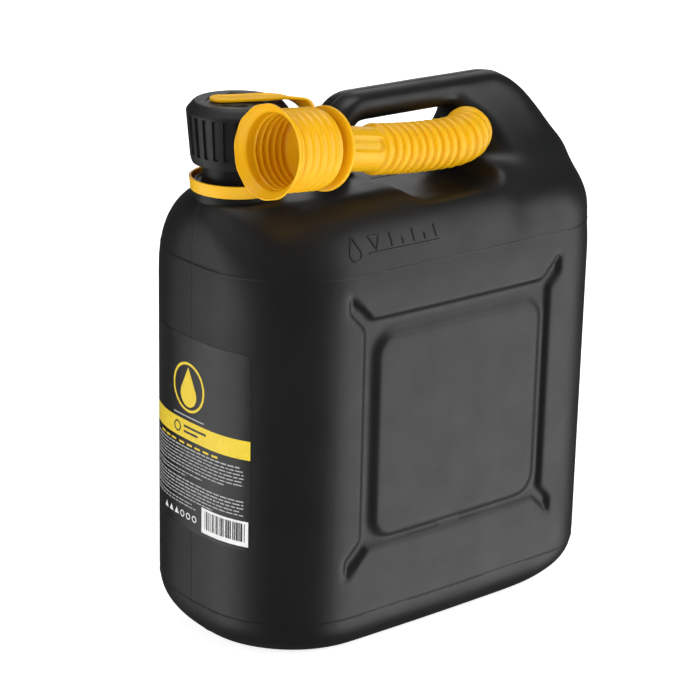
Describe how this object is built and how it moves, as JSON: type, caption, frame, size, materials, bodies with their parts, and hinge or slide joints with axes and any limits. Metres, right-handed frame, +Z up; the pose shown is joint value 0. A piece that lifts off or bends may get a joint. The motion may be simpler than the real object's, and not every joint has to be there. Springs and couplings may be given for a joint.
{
  "type": "jerry can",
  "caption": "Upright plastic jerry can with a moulded handle, push-and-turn screw cap, neck ring and a flexible pouring spout leashed to the cap and stored through the handle.",
  "frame": {"origin": "centre of the can's length and width, on the plane it stands on", "axes": "+Z up, +X from the neck end towards the handle's rear leg, +Y across the can; the spout lies on the -Y side of the cap"},
  "size_m": [0.2799, 0.1628, 0.3501],
  "materials": {
    "black_plastic": "satin blow-moulded polyethylene",
    "cap_plastic": "satin injection-moulded polypropylene",
    "yellow_plastic": "soft glossy polyethylene",
    "seal_rubber": "matt",
    "label_film": "printed glossy film"
  },
  "bodies": {
    "can": {"can_body": "black_plastic", "front_label": "label_film"},
    "ring": {"neck_ring": "yellow_plastic"},
    "seal": {"cap_seal": "seal_rubber"},
    "inner_cap": {"inner_cap": "cap_plastic"},
    "shell": {"cap_shell": "cap_plastic"},
    "strap": {"spout_strap": "yellow_plastic"},
    "spout": {"spout": "yellow_plastic"}
  },
  "joints": [
    {"name": "ring_turn", "type": "hinge", "parent": "can", "child": "ring", "pos_m": [-0.1075, 0, 0.29], "axis": [0, 0, 1], "continuous": true},
    {"name": "cap_lift", "type": "slide", "parent": "can", "child": "seal", "axis": [0, 0, 1], "range_m": [0, 0.008]},
    {"name": "cap_turn", "type": "hinge", "parent": "seal", "child": "inner_cap", "pos_m": [-0.1075, 0, 0.32], "axis": [0, 0, 1], "range_deg": [0, 720]},
    {"name": "shell_press", "type": "slide", "parent": "inner_cap", "child": "shell", "axis": [0, 0, 1], "range_m": [-0.0015, 0], "stiffness_N_per_m": 800, "springref_m": 0.001},
    {"name": "strap_swing", "type": "hinge", "parent": "seal", "child": "strap", "pos_m": [-0.1075, 0, 0.341], "axis": [0, 0, 1], "range_deg": [-75, 0]},
    {"name": "spout_flex", "type": "slide", "parent": "strap", "child": "spout", "axis": [0, 0, 1], "range_m": [-0.008, 0], "deforming": ["spout_strap"]}
  ],
  "couplings": [
    {"joint": "cap_turn", "follows": "cap_lift", "rad_per_m": 1570.8},
    {"joint": "spout_flex", "follows": "cap_lift", "ratio": -1}
  ]
}
